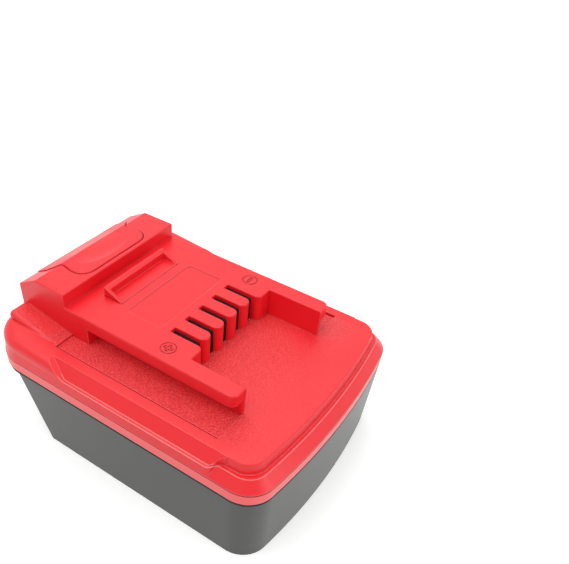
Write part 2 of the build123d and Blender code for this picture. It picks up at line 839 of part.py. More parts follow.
    # Screw bosses and their pilot holes
    with BuildSketch(Plane.XY.offset(boss_base)):
        with Locations(*rim_screw_places):
            Circle(cover_boss_radius)
    extrude(amount=room_step + touch - boss_base)
    with BuildSketch(Plane.XY.offset(room_step)):
        with Locations(*rim_screw_places):
            Circle(cover_boss_radius)
        offset(cover_plan, amount=touch - room_step_inset, mode=Mode.INTERSECT)
    extrude(amount=ceiling + touch - room_step)
    with BuildSketch(Plane.XY.offset(shelf_top + touch / 3)):
        with Locations(*shelf_screw_places):
            Circle(cover_boss_radius)
    extrude(amount=ceiling - shelf_top)
    with BuildSketch(Plane.XY.offset(retainer_top)):
        with Locations(*ear_screw_places):
            Circle(ear_boss_radius)
    extrude(amount=ceiling + touch - retainer_top)
    with BuildSketch(Plane.XY.offset(terminal_flange_top)):
        with Locations(*terminal_screw_places):
            Circle(terminal_boss_radius)
    extrude(amount=ceiling + touch - terminal_flange_top)
    with BuildSketch(Plane.XY.offset(seam_height)):
        with Locations(*rim_screw_places, *shelf_screw_places):
            Circle(screw_shank_radius + blade_fit)
    extrude(amount=cover_boss_depth, mode=Mode.SUBTRACT)
    with BuildSketch(Plane.XY.offset(seam_height)):
        with Locations(*ear_screw_places, *terminal_screw_places):
            Circle(small_shank_radius + blade_fit)
    extrude(amount=cover_boss_depth + touch, mode=Mode.SUBTRACT)

# Release latch: the button and the tongue that locks into the tool, on one plate
plate_top = room_top - touch
plate_base = plate_top - latch_plate_thickness
setback = button_end + platform_start + platform_end_wall + latch_gap
latch_plate_length = button_end + latch_plate_end - setback
with BuildPart() as release_latch:
    with BuildSketch(Plane.XY.offset(plate_base)):
        with Locations((setback + latch_plate_length / 2, 0)):
            Rectangle(latch_plate_length, 2 * latch_plate_half_width)
    extrude(amount=latch_plate_thickness)
    with BuildSketch(Plane.XY.offset(plate_top)):
        add(button_plan.sketch)
    extrude(amount=button_top - plate_top)
    top_edges = release_latch.faces().sort_by(Axis.Z)[-1].edges().sort_by(Axis.X)
    fillet(top_edges[1:], edge_round)
    with BuildSketch(Plane.XZ):
        with BuildLine():
            Polyline(
                (button_end - overrun, button_top + overrun),
                (button_end + block_bevel_end, button_top + overrun),
                (button_end + block_bevel_end, button_top),
                (button_end + platform_start, block_bevel_foot + button_proud),
                (button_end + platform_start, face_foot),
                (setback, face_foot),
                (setback, plate_base - overrun),
                (button_end - overrun, plate_base - overrun),
                close=True,
            )
        make_face()
    extrude(amount=width, both=True, mode=Mode.SUBTRACT)
    add(dish.part, mode=Mode.SUBTRACT)
    # Tongue: a flush pad with a thin back wall and a sloping rib on each side
    with BuildSketch(Plane.XY.offset(plate_top)):
        with Locations((tongue_middle, 0)):
            Rectangle(tongue_length, 2 * tongue_half_width)
    extrude(amount=platform_top - plate_top)
    with BuildSketch(Plane.XZ):
        with BuildLine():
            Polyline(
                (button_end + tongue_back, platform_top),
                (button_end + tongue_back, platform_top + tongue_rise),
                (button_end + tongue_front, platform_top),
                close=True,
            )
        make_face()
    extrude(amount=tongue_half_width, both=True)
    with BuildSketch(Plane.XY.offset(platform_top)):
        scoop_length = tongue_length - tongue_wall
        with Locations((button_end + tongue_front - scoop_length / 2, 0)):
            Rectangle(scoop_length, 2 * (tongue_half_width - tongue_rib))
    extrude(amount=tongue_rise, mode=Mode.SUBTRACT)
    # Posts that centre the springs, and the core between them
    with BuildSketch(Plane.XY.offset(plate_base)):
        with Locations((button_end + spring_x, spring_y), (button_end + spring_x, -spring_y)):
            Circle(spring_post_radius)
    extrude(amount=-spring_post_height)
    with BuildSketch(Plane.XY.offset(plate_base)):
        with Locations((button_end + spring_x, 0)):
            Rectangle(core_length, core_width)
    extrude(amount=button_top - button_skin - plate_base, mode=Mode.SUBTRACT)

# Two compression springs push the latch up
spring_base = retainer_top + spring_wire / 2 + spring_clear
spring_height = plate_base - spring_wire / 2 - spring_clear - spring_base
springs = []
for side in (1, -1):
    with BuildPart() as latch_spring:
        with BuildLine() as coil:
            Helix(
                spring_height / spring_turns,
                spring_height,
                spring_radius,
                center=(button_end + spring_x, side * spring_y, spring_base),
            )
        with BuildSketch(Plane(origin=coil.line @ 0, z_dir=coil.line % 0)):
            Circle(spring_wire / 2)
        sweep(is_frenet=True)
    springs.append(latch_spring.part)

# Plate screwed under the cover, which the springs stand on
with BuildPart() as spring_plate:
    with BuildSketch(Plane.XY.offset(retainer_top)):
        retainer_length = retainer_end - retainer_start
        with Locations((button_end + retainer_start + retainer_length / 2, 0)):
            RectangleRounded(retainer_length, 2 * retainer_half_width, carrier_round)
        with Locations((button_end + ear_x, 0)):
            RectangleRounded(2 * ear_radius, 2 * ear_reach, ear_radius - touch)
    extrude(amount=-retainer_thickness)
    with BuildSketch(Plane.XY.offset(retainer_top)):
        with Locations((button_end + spring_x, spring_y), (button_end + spring_x, -spring_y)):
            Circle(spring_post_radius)
    extrude(amount=spring_post_height)
    with BuildSketch(Plane.XY.offset(retainer_top)):
        with Locations(*ear_screw_places):
            Circle(small_hole_radius)
    extrude(amount=-retainer_thickness, mode=Mode.SUBTRACT)


# Every screw points up: a domed pan head with a six-lobe recess, under a plain shank
def screw_set(places, seat, shank, shank_radius, head_radius, head_height, direction=1):
    with BuildPart() as screws:
        with BuildSketch(Plane.XY.offset(seat)):
            with Locations(*places):
                Circle(head_radius)
        extrude(amount=-direction * head_height)
        outer_faces = screws.faces().filter_by(Axis.Z)
        outer = outer_faces.sort_by(Axis.Z)[:len(places)]
        if direction < 0:
            outer = outer_faces.sort_by(Axis.Z)[-len(places):]
        fillet([edge for face in outer for edge in face.edges()], head_height / 3)
        with BuildSketch(Plane.XY.offset(seat)):
            with Locations(*places):
                Circle(shank_radius)
        extrude(amount=direction * shank)
        lobe_ring = head_radius * screw_recess_radius / screw_head_radius
        with BuildSketch(Plane.XY.offset(seat - direction * head_height)):
            with Locations(*places):
                Circle(lobe_ring)
                with PolarLocations(lobe_ring, screw_lobes):
                    Circle(screw_lobe_radius)
        extrude(amount=direction * screw_recess_depth, mode=Mode.SUBTRACT)
    return screws.part


rim_shank = seam_height + cover_boss_depth - touch - well_depth
rim_screws = screw_set(
    rim_screw_places, well_depth, rim_shank, screw_shank_radius, screw_head_radius, screw_head_height
)
shelf_seat = shelf_height + shelf_bore_depth
shelf_shank = seam_height + cover_boss_depth - touch - shelf_seat
shelf_screws = screw_set(
    shelf_screw_places, shelf_seat, shelf_shank, screw_shank_radius, screw_head_radius, screw_head_height
)
retainer_base = retainer_top - retainer_thickness
plate_screws = screw_set(
    ear_screw_places,
    retainer_base,
    seam_height + cover_boss_depth - retainer_base,
    small_shank_radius,
    small_head_radius,
    small_head_height,
)
terminal_screws = screw_set(
    terminal_screw_places,
    terminal_base,
    seam_height + cover_boss_depth - terminal_base,
    small_shank_radius,
    small_head_radius,
    small_head_height,
)
clamp_screws = screw_set(
    clamp_screw_places,
    clamp_top,
    clamp_thickness + small_screw_bite,
    small_shank_radius,
    small_head_radius,
    small_head_height,
    direction=-1,
)

# Inlet blades: a wide blade through the floor of the cavity, with a solder tab on top
blades = []
for side in (1, -1):
    with BuildPart() as inlet_blade:
        with BuildSketch(Plane.XZ.offset(-side * blade_y)):
            with BuildLine():
                Polyline(
                    (blade_near, blade_tip_height + blade_tip_chamfer),
                    (blade_near + blade_tip_chamfer, blade_tip_height),
                    (blade_far - blade_tip_chamfer, blade_tip_height),
                    (blade_far, blade_tip_height + blade_tip_chamfer),
                    (blade_far, carrier_top),
                    (blade_centre + tab_length / 2, carrier_top),
                    (blade_centre + tab_length / 2, carrier_top + tab_height),
                    (blade_centre - tab_length / 2, carrier_top + tab_height),
                    (blade_centre - tab_length / 2, carrier_top),
                    (blade_near, carrier_top),
                    close=True,
                )
            make_face()
        extrude(amount=blade_thickness / 2, both=True)
    blades.append(inlet_blade.part)

# Carrier that keeps the blades upright, on top of the cavity floor
with BuildPart() as blade_carrier:
    with BuildSketch(Plane.XY.offset(floor_top)):
        with Locations((blade_centre, 0)):
            RectangleRounded(blade_length + 2 * carrier_margin, 2 * carrier_half_width, carrier_round)
        with Locations((blade_centre, blade_y), (blade_centre, -blade_y)):
            Rectangle(
                blade_length + 2 * blade_fit, blade_thickness + 2 * blade_fit, mode=Mode.SUBTRACT
            )
    extrude(amount=carrier_thickness)

# Clamp over the shoulders of the blades, with a slit for each solder tab
with BuildPart() as blade_clamp:
    with BuildSketch(Plane.XY.offset(carrier_top)):
        with Locations((blade_centre, 0)):
            RectangleRounded(tab_length + 4 * clamp_margin, 2 * clamp_half_width, carrier_round)
        with Locations((blade_centre, blade_y), (blade_centre, -blade_y)):
            Rectangle(tab_length + 2 * blade_fit, blade_thickness + 2 * blade_fit, mode=Mode.SUBTRACT)
        with Locations(*clamp_screw_places):
            Circle(small_hole_radius, mode=Mode.SUBTRACT)
    extrude(amount=clamp_thickness)

# Terminal block under the fingers: a slit at each slot, and a pocket for each clip
clip_places = [slot_places[0], slot_places[slot_count // 2], slot_places[-1]]
terminal_top = room_top - touch
terminal_back = terminal_front - terminal_length
pocket_start = terminal_back + clip_pocket_back
pocket_length = terminal_length - clip_pocket_back - clip_pocket_front
with BuildPart() as terminal_block:
    with BuildSketch(Plane.XY.offset(terminal_base)):
        with Locations((terminal_middle, 0)):
            Rectangle(terminal_length, 2 * terminal_half_width)
    extrude(amount=terminal_top - terminal_base)
    with BuildSketch(Plane.XY.offset(terminal_base)):
        with Locations((terminal_ear_x, 0)):
            Rectangle(terminal_ear_length, 2 * terminal_ear_reach)
    extrude(amount=terminal_flange_thickness)
    with BuildSketch(Plane.XY.offset(terminal_flange_top)):
        for slot_y in slot_places:
            with Locations((pocket_start + terminal_length / 2, slot_y)):
                Rectangle(terminal_length, slit_width)
    extrude(amount=terminal_top - terminal_flange_top, mode=Mode.SUBTRACT)
    with BuildSketch(Plane.XY.offset(terminal_base)):
        for clip_y in clip_places:
            with Locations((pocket_start + pocket_length / 2, clip_y)):
                Rectangle(pocket_length, clip_pocket_width)
    extrude(amount=terminal_top - clip_pocket_roof - terminal_base, mode=Mode.SUBTRACT)
    with BuildSketch(Plane.XY.offset(terminal_base)):
        with Locations(*terminal_screw_places):
            Circle(small_hole_radius)
    extrude(amount=terminal_flange_thickness, mode=Mode.SUBTRACT)

# Contact clips: two sprung leaves that pinch the tool's blade, a foot and a solder tail
leaf_start = pocket_start + clip_end_gap
leaf_length = pocket_length - 2 * clip_end_gap
clip_base = terminal_flange_top
clip_height = terminal_top - clip_pocket_roof - clip_end_gap - clip_base
clips = []
for clip_y in clip_places:
    with BuildPart() as contact_clip:
        with BuildSketch(Plane.XY.offset(clip_base)):
            for leaf in (1, -1):
                with BuildLine() as leaf_line:
                    Polyline(
                        (leaf_start, clip_y + leaf * clip_spread),
                        (leaf_start + clip_bite_share * leaf_length, clip_y + leaf * clip_pinch),
                        (leaf_start + leaf_length, clip_y + leaf * clip_mouth),
                    )
                trace(line_width=clip_thickness)
        extrude(amount=clip_height)
        with BuildSketch(Plane.XY.offset(clip_base)):
            with Locations((leaf_start + clip_foot / 2, clip_y)):
                Rectangle(clip_foot, 2 * clip_spread)
        extrude(amount=clip_thickness)
        with BuildSketch(Plane.XY.offset(terminal_base - tail_drop)):
            with Locations((leaf_start + clip_thickness / 2, clip_y)):
                Rectangle(clip_thickness, tail_width)
        extrude(amount=clip_base + clip_thickness - terminal_base + tail_drop)
    clips.append(contact_clip.part)

# Leads from the solder tabs of the blades to the tails of the outer clips
tail_face = leaf_start + clip_thickness
lead_end_height = terminal_base - lead_drop
lead_start_height = carrier_top + tab_height - lead_radius - touch
lead_start = blade_centre - tab_length / 2
lead_run = lead_start - tail_face
first_bend_share = 0.27
second_bend_share = 0.31
bend_share = 0.45
leads = []
for side, clip_y in ((1, clip_places[-1]), (-1, clip_places[0])):
    first_bend = (lead_start - first_bend_share * lead_run, side * blade_y, lead_start_height)
    second_bend = (tail_face + second_bend_share * lead_run, clip_y, lead_end_height)
    run_in = first_bend_share * lead_run
    turn = (Vector(*second_bend) - Vector(*first_bend)).get_angle(Vector(-1, 0, 0))
    bend_radius = bend_share * run_in / tan(radians(turn / 2))
    with BuildPart() as lead:
        with BuildLine() as lead_line:
            FilletPolyline(
                (lead_start, side * blade_y, lead_start_height),
                first_bend,
                second_bend,
                (tail_face, clip_y, lead_end_height),
                radius=bend_radius,
            )
        with BuildSketch(Plane(origin=lead_line.line @ 0, z_dir=lead_line.line % 0)):
            Circle(lead_radius)
        sweep()
    leads.append(lead.part)

# Sense resistor: its two wires run between the tails of the middle clip and the outer one
sense_clip_y = clip_places[1]
resistor_x = tail_face + resistor_radius + touch
resistor_z = terminal_base - tail_drop + resistor_rise
resistor_y = (sense_clip_y + clip_places[-1]) / 2
with BuildPart() as sense_resistor:
    with BuildSketch(Plane.XZ.offset(-resistor_y)):
        with Locations((resistor_x, resistor_z)):
            Circle(resistor_radius)
    extrude(amount=resistor_length / 2, both=True)
    fillet(sense_resistor.edges().filter_by(GeomType.CIRCLE), resistor_radius / 3)
    with BuildSketch(Plane.XZ.offset(-sense_clip_y)):
        with Locations((resistor_x, resistor_z)):
            Circle(resistor_wire)
    extrude(amount=sense_clip_y - clip_places[-1])
    with BuildSketch(Plane.YZ.offset(tail_face)):
        with Locations((sense_clip_y, resistor_z), (clip_places[-1], resistor_z)):
            Circle(resistor_wire)
    extrude(amount=resistor_x - tail_face)

# Each piece is written under its own name
pieces = {
    "base_shell": base_shell.part,
    "top_cover": top_cover.part,
    "release_latch": release_latch.part,
    "latch_spring_left": springs[0],
    "latch_spring_right": springs[1],
    "spring_plate": spring_plate.part,
    "spring_plate_screws": plate_screws,
    "inlet_blade_negative": blades[0],
    "inlet_blade_positive": blades[1],
    "blade_carrier": blade_carrier.part,
    "blade_clamp": blade_clamp.part,
    "blade_clamp_screws": clamp_screws,
    "terminal_block": terminal_block.part,
    "terminal_block_screws": terminal_screws,
    "contact_clip_positive": clips[0],
    "contact_clip_sense": clips[1],
    "contact_clip_negative": clips[2],
    "lead_negative": leads[0],
    "lead_positive": leads[1],
    "sense_resistor": sense_resistor.part,
    "shelf_screws": shelf_screws,
    "rim_screws": rim_screws,
}
os.makedirs("parts", exist_ok=True)
for name, piece in pieces.items():
    piece.label = name
    export_step(piece, "parts/" + name + ".step")
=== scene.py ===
import bpy
import numpy as np
from mathutils import Matrix, Vector


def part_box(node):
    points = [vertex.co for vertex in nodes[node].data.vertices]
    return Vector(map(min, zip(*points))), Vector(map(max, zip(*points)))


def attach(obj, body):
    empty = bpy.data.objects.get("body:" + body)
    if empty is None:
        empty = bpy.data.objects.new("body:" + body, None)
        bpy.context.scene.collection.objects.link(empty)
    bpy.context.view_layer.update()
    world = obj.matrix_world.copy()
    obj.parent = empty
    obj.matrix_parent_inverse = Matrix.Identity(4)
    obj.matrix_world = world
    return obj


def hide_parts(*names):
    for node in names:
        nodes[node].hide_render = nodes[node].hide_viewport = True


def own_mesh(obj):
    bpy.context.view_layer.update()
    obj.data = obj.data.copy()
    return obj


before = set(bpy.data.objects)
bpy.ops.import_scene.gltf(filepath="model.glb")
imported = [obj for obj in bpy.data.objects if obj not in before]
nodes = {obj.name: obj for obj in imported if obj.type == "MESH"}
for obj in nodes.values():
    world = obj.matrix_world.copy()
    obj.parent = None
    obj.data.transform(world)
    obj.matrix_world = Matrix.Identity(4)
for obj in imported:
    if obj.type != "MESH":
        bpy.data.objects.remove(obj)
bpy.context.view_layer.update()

# Camera. The adapter is seen from above its near side, a little from the bowed end, with the
# lens of a close product picture. The lens is shifted, so the adapter stands low and left.
eye = Vector((0.08695, -0.1208, 0.1609))
toward_eye = Vector((0.38635, -0.58526, 0.71286))
level_right = Vector((0.83457, 0.55089, 0.0))
level_up = toward_eye.cross(level_right)
roll = np.radians(3.06)
right = level_right * np.cos(roll) + level_up * np.sin(roll)
up = level_up * np.cos(roll) - level_right * np.sin(roll)
lens = bpy.data.cameras.new("product_lens")
lens.sensor_width = 36.0
lens.lens = 39.635
lens.shift_x = 0.1221
lens.shift_y = 0.1955
lens.clip_start = 0.005
lens.clip_end = 20.0
camera = bpy.data.objects.new("camera", lens)
camera.matrix_world = Matrix((
    (right.x, up.x, toward_eye.x, eye.x),
    (right.y, up.y, toward_eye.y, eye.y),
    (right.z, up.z, toward_eye.z, eye.z),
    (0.0, 0.0, 0.0, 1.0),
))
bpy.context.scene.collection.objects.link(camera)
bpy.context.scene.camera = camera
bpy.context.scene.view_settings.view_transform = "Standard"


# Table. A white board, slightly soft in its shine, that runs out of the picture on every side.
# The camera and the gloss see it as white, and the adapter still shades it.
class Reading:
    """One output of a node. Arithmetic on it adds Math nodes to the same material."""

    def __init__(self, finish, socket):
        self.finish = finish
        self.socket = socket

    def __add__(self, other):
        return self.finish.maths("ADD", self, other)

    def __sub__(self, other):
        return self.finish.maths("SUBTRACT", self, other)

    def __rsub__(self, other):
        return self.finish.maths("SUBTRACT", other, self)

    def __mul__(self, other):
        return self.finish.maths("MULTIPLY", self, other)

    __radd__ = __add__
    __rmul__ = __mul__


class Finish:
    """One material, or the world that holder gives, built up from nodes.

    A material has across, along and height: the x, y and z of a point on its own piece.
    """

    def __init__(self, name, holder=None, surface="Principled BSDF"):
        self.material = holder or bpy.data.materials.new(name)
        self.material.use_nodes = True
        self.tree = self.material.node_tree
        self.surface = self.tree.nodes[surface]
        if holder is None:
            self.place = self.node("TexCoord", {}, {}, "Object")
            self.across, self.along, self.height = self.split(self.place)

    def node(self, kind, settings, values, output=0):
        """One output of a new node: its settings first, then its sockets' values or links."""
        made = self.tree.nodes.new("ShaderNode" + kind)
        for name, setting in settings.items():
            setattr(made, name, setting)
        for name, value in values.items():
            self.feed(made.inputs[name], value)
        return Reading(self, made.outputs[output])

    def feed(self, socket, value):
        """Links a reading to the socket, or sets the socket's own value."""
        if isinstance(value, Reading):
            self.tree.links.new(value.socket, socket)
        else:
            socket.default_value = value

    def maths(self, operation, *numbers):
        """The result of one of Blender's Math operations."""
        return self.node("Math", {"operation": operation}, dict(enumerate(numbers)))

    def set(self, **values):
        """Feeds the shader's sockets, which are named with underscores for spaces."""
        for name, value in values.items():
            self.feed(self.surface.inputs[name.replace("_", " ")], value)

    def split(self, vector):
        """The x, y and z parts of a vector."""
        outputs = self.node("SeparateXYZ", {}, {0: vector}).socket.node.outputs
        return [Reading(self, outputs[0]), Reading(self, outputs[1]), Reading(self, outputs[2])]

    def noise(self, scale, detail, roughness, where=None):
        """Fractal noise from 0 to 1; scale is cells per metre on the piece itself."""
        return self.node("TexNoise", {}, {
            "Vector": where or self.place, "Scale": scale, "Detail": detail, "Roughness": roughness,
        })

    def stretched(self, x, y, z):
        """The piece's own place with each axis multiplied, for streaks along one of them."""
        return self.node("Mapping", {}, {"Vector": self.place, "Scale": (x, y, z)})

    def rise(self, value, low, high):
        """0 below low, 1 above high and an S curve between them."""
        return self.node("MapRange", {"interpolation_type": "SMOOTHSTEP"}, {
            "Value": value, "From Min": low, "From Max": high,
        })

    def fall(self, value, low, high):
        """1 below low, 0 above high and an S curve between them."""
        return 1.0 - self.rise(value, low, high)

    def size(self, value):
        """The value without its sign."""
        return self.maths("ABSOLUTE", value)

    def tint(self, share, first, second):
        """The first colour where share is 0 and the second where it is 1."""
        return self.node("Mix", {"data_type": "RGBA"}, {0: share, 6: first, 7: second}, 2)

    def coated(self, colour, *coats):
        """The colour under several coats, each a share and the colour that it lays on."""
        for share, coat in coats:
            colour = self.tint(share, colour, coat)
        return colour

    def bump(self, height, depth, normal=None):
        """Raises the surface by height times depth, in metres."""
        values = {"Height": height, "Distance": depth}
        if normal is not None:
            values["Normal"] = normal
        return self.node("Bump", {}, values)

    def eased(self, radius):
        """The surface's normal, turned over its sharp edges as a small radius would."""
        return self.node("Bevel", {"samples": 6}, {"Radius": radius})

    def edges(self, radius, start=0.01, full=0.15):
        """0 on flat faces and 1 on sharp edges, where the eased normal leaves the true one.

        The mask rises while 1 minus the two normals' dot product goes from start to full.
        """
        flat = self.node("NewGeometry", {}, {}, "True Normal")
        same = self.node("VectorMath", {"operation": "DOT_PRODUCT"}, {
            0: self.eased(radius), 1: flat,
        }, "Value")
        return self.rise(1.0 - same, start, full)

    def crevices(self, reach, shut=0.25, clear=0.85):
        """1 deep in corners and gaps no wider than reach, and 0 on open faces."""
        open_share = self.node("AmbientOcclusion", {"samples": 8, "only_local": True}, {
            "Distance": reach,
        }, "AO")
        return self.fall(open_share, shut, clear)

    def cover(self, *pieces):
        """Makes this the only material of each piece."""
        for piece in pieces:
            piece.data.materials.clear()
            piece.data.materials.append(self.material)


table_size = 8.0
board_white = (0.78, 0.78, 0.775, 1.0)
lift_white = (1.0, 1.0, 0.995, 1.0)
camera_lift = 0.4
gloss_lift = 0.4
board = bpy.data.meshes.new("table")
corners = np.array([[-1, -1, 0], [1, -1, 0], [1, 1, 0], [-1, 1, 0]]) * table_size / 2
board.from_pydata(corners.tolist(), [], [(0, 1, 2, 3)])
table = bpy.data.objects.new("table", board)
bpy.context.scene.collection.objects.link(table)
paper = Finish("table_white")
camera_ray = paper.node("LightPath", {}, {}, "Is Camera Ray")
glossy_ray = paper.node("LightPath", {}, {}, "Is Glossy Ray")
paper.set(
    Base_Color=board_white,
    Roughness=0.7,
    Emission_Color=lift_white,
    Emission_Strength=camera_lift * camera_ray + gloss_lift * glossy_ray,
)
paper.cover(table)

# Light. A pale room, brighter behind the adapter, with one broad soft lamp overhead on the
# camera's side, one high up behind the adapter, and a weaker one low down at the bowed end. The
# camera and the gloss see the room as white.
bright_side = (-0.36, 0.55, 0.75)
bright_from = (-0.2, 0.8)
room_dim = 0.5
room_gain = 0.3
room = bpy.data.worlds.new("studio_room")
bpy.context.scene.world = room
air = Finish("room", holder=room, surface="Background")
heading = air.node("TexCoord", {}, {}, "Generated")
facing = air.node("VectorMath", {"operation": "DOT_PRODUCT"}, {0: heading, 1: bright_side}, "Value")
room_level = room_dim + room_gain * air.rise(facing, *bright_from)
seen_straight = air.node("LightPath", {}, {}, "Is Camera Ray")
seen_in_gloss = air.node("LightPath", {}, {}, "Is Glossy Ray")
seen = seen_straight + seen_in_gloss
air.set(Color=(1.0, 1.0, 1.0, 1.0), Strength=room_level + seen * (1.0 - room_level))
# Each lamp's place, its width and its power in watts
lamps = {
    "ceiling_lamp": ((-0.08, -0.33, 0.8), 0.7, 3.1),
    "window_lamp": ((-0.24, 0.34, 0.85), 0.5, 1.2),
    "end_lamp": ((0.75, 0.1, 0.25), 0.4, 1.1),
}
for name, (spot, width, power) in lamps.items():
    lamp = bpy.data.lights.new(name, "AREA")
    lamp.size = width
    lamp.energy = power
    stand = bpy.data.objects.new(name, lamp)
    stand.location = spot
    stand.rotation_euler = (-Vector(spot)).to_track_quat("-Z", "Y").to_euler()
    bpy.context.scene.collection.objects.link(stand)

# Top cover: one red ABS moulding with the tool's rails, screwed down through the base. Its tops are
# satin. Its sunk floors and the bay in front of the fingers have a fine spark-eroded stipple, which
# carries a painted sheen, with painted highlights on its peaks and painted shade in its pits. Its
# sharp edges and the ledge's edge carry painted highlights, its corners and creases painted shade,
# and the skirt's lowest band is pale.
red_deep = (0.72, 0.006, 0.013, 1.0)
red_body = (0.83, 0.012, 0.021, 1.0)
# Painted sheen on the stipple and painted highlights on its peaks
red_painted_sheen = (0.88, 0.085, 0.09, 1.0)
red_skirt = (0.93, 0.11, 0.115, 1.0)
# Painted shade in the stipple's pits and in corners and creases
red_painted_shade = (0.36, 0.002, 0.005, 1.0)
# Painted highlight along sharp edges
red_painted_highlight = (0.93, 0.19, 0.195, 1.0)
# Painted highlight along the ledge's outer edge
red_ledge_highlight = (0.95, 0.27, 0.275, 1.0)
edge_radius = 0.0003
# Radii of the painted highlights along sharp edges and along the ledge's edge
highlight_radius = 0.0004
ledge_highlight_radius = 0.0005
# Reach of the painted shade in corners and creases
crevice_reach = 0.0005
ledge_level = 0.0340
mark_x = 0.00455
mark_y = 0.0204
# Where each mask rises or falls, in metres: heights, places along the adapter, and distances from
# its middle line, from a polarity mark or from the ledge
ledge_to_floor = (0.0340, 0.0368)
floor_top = (0.0380, 0.0385)
arms_gap = (0.018, 0.023)
bay_fade = (0.012, 0.040)
web_face = (0.0205, 0.0215)
channel_side = (0.0310, 0.0325)
channel_fade = (0.028, 0.042)
ramp_foot = (-0.0289, -0.0286)
ramp_top = (0.0415, 0.0420)
mark_rim = (0.0026, 0.0031)
ledge_band = (0.0004, 0.0008)
skirt_line = (0.0303, 0.0307)
# The same for the normal's upward part, the stipple's noise and the crevices
top_normal = (0.8, 0.95)
side_normal = (0.1, 0.4)
peak_noise = (0.5, 0.68)
pit_noise = (0.34, 0.48)
shut_crevice = (0.05, 0.3)
# Where the ledge's painted highlight is full
ledge_highlight_full = 0.05
faint_share = 0.12
ramp_share = 0.6
stipple_depth = 0.00045
satin_depth = 0.000012
cover_red = Finish("cover_red")
normal_up = cover_red.split(cover_red.node("NewGeometry", {}, {}, "Normal"))[2]
faces_up = cover_red.rise(normal_up, *top_normal)
faces_out = cover_red.fall(cover_red.size(normal_up), *side_normal)
side_reach = cover_red.size(cover_red.along)
above_ledge = cover_red.rise(cover_red.height, *ledge_to_floor)
low_floor = above_ledge * cover_red.fall(cover_red.height, *floor_top)
between_arms = cover_red.fall(side_reach, *arms_gap)
from_fingers = between_arms * cover_red.fall(cover_red.across, *bay_fade)
beside_webs = cover_red.rise(side_reach, *web_face) * cover_red.fall(side_reach, *channel_side)
in_channel = beside_webs * cover_red.fall(cover_red.across, *channel_fade)
rough_floor = cover_red.maths("MAXIMUM", from_fingers, in_channel)
on_floor = low_floor * (faint_share + (1.0 - faint_share) * rough_floor)
before_ramp = beside_webs * cover_red.fall(cover_red.across, *ramp_foot)
on_ramp = before_ramp * cover_red.fall(cover_red.height, *ramp_top)
stippled = faces_up * cover_red.maths("MAXIMUM", on_floor, ramp_share * on_ramp)
stipple = cover_red.noise(scale=2200.0, detail=1.5, roughness=0.55)
# Painted highlights on the stipple's peaks and painted shade in its pits
peak_highlight = cover_red.rise(stipple, *peak_noise)
pit_shade = cover_red.fall(stipple, *pit_noise)
satin = cover_red.noise(scale=4200.0, detail=1.0, roughness=0.5)
mottle = cover_red.noise(scale=60.0, detail=3.0, roughness=0.55)
from_mark = cover_red.across - mark_x
beside_mark = side_reach - mark_y
mark_distance = cover_red.maths("SQRT", from_mark * from_mark + beside_mark * beside_mark)
# Painted shade in corners and creases
crevice_shade = cover_red.crevices(crevice_reach)
# Keeps the painted edge highlights off the polarity marks and out of crevices
open_edge = cover_red.rise(mark_distance, *mark_rim) * cover_red.fall(crevice_shade, *shut_crevice)
# Painted highlight along sharp edges
edge_highlight = cover_red.edges(highlight_radius) * open_edge
# Painted highlight along the ledge's outer edge
at_ledge = cover_red.fall(cover_red.size(cover_red.height - ledge_level), *ledge_band)
ledge_highlight = cover_red.edges(ledge_highlight_radius, full=ledge_highlight_full) * open_edge * at_ledge
skirt_side = cover_red.fall(cover_red.height, *skirt_line) * faces_out
# Coats: random mottle, the stipple's painted sheen, painted shade in its pits and painted
# highlights on its peaks, painted highlights along edges and the ledge's edge, the pale skirt band
# and painted shade in crevices
cover_red.set(
    Base_Color=cover_red.coated(
        red_body,
        (0.5 * mottle, red_deep),
        (0.3 * stippled, red_painted_sheen),
        (0.4 * pit_shade * stippled, red_painted_shade),
        (0.9 * peak_highlight * stippled, red_painted_sheen),
        (0.75 * edge_highlight, red_painted_highlight),
        (0.9 * ledge_highlight, red_ledge_highlight),
        (0.95 * skirt_side, red_skirt),
        (0.8 * crevice_shade, red_painted_shade),
    ),
    Roughness=0.3 + 0.12 * stippled + 0.06 * mottle + 0.05 * satin,
    Normal=cover_red.bump(
        satin,
        satin_depth,
        cover_red.bump(stipple, stipple_depth * stippled, cover_red.eased(edge_radius)),
    ),
)
cover_red.cover(nodes["top_cover"])

# Release latch: button and tongue in one moulding of the cover's red ABS, which slides in the cover
# on two springs. It is a little smoother where thumbs rub it, and its sharp edges carry a painted
# highlight.
thumb_reach = (0.007, 0.013)
button_highlight_radius = 0.00035
button_satin_depth = 0.000015
button_red = Finish("button_red")
rubbed = button_red.fall(button_red.size(button_red.along), *thumb_reach)
button_satin = button_red.noise(scale=3600.0, detail=1.5, roughness=0.55)
button_mottle = button_red.noise(scale=80.0, detail=3.0, roughness=0.55)
button_red.set(
    Base_Color=button_red.coated(
        red_body,
        (0.5 * button_mottle, red_deep),
        # Painted highlight along sharp edges
        (0.5 * button_red.edges(button_highlight_radius), red_painted_highlight),
    ),
    Roughness=0.36 - 0.06 * rubbed + 0.07 * button_satin,
    Normal=button_red.bump(button_satin, button_satin_depth, button_red.eased(edge_radius)),
)
button_red.cover(nodes["release_latch"])

# Base shell: one black ABS moulding that slides onto the battery, greyed by an even spark-eroded
# grain on its flat faces. The walls of the battery bay carry painted shade, its sharp edges a
# painted highlight, and a line of painted shade runs round under the cover's edge, in the gap
# where the two shells part.
black_deep = (0.015, 0.016, 0.015, 1.0)
black_grey = (0.036, 0.037, 0.034, 1.0)
# Painted highlight along sharp edges
black_edge_highlight = (0.16, 0.16, 0.155, 1.0)
# Painted shade in the gap under the cover's edge
gap_shade_black = (0.004, 0.004, 0.004, 1.0)
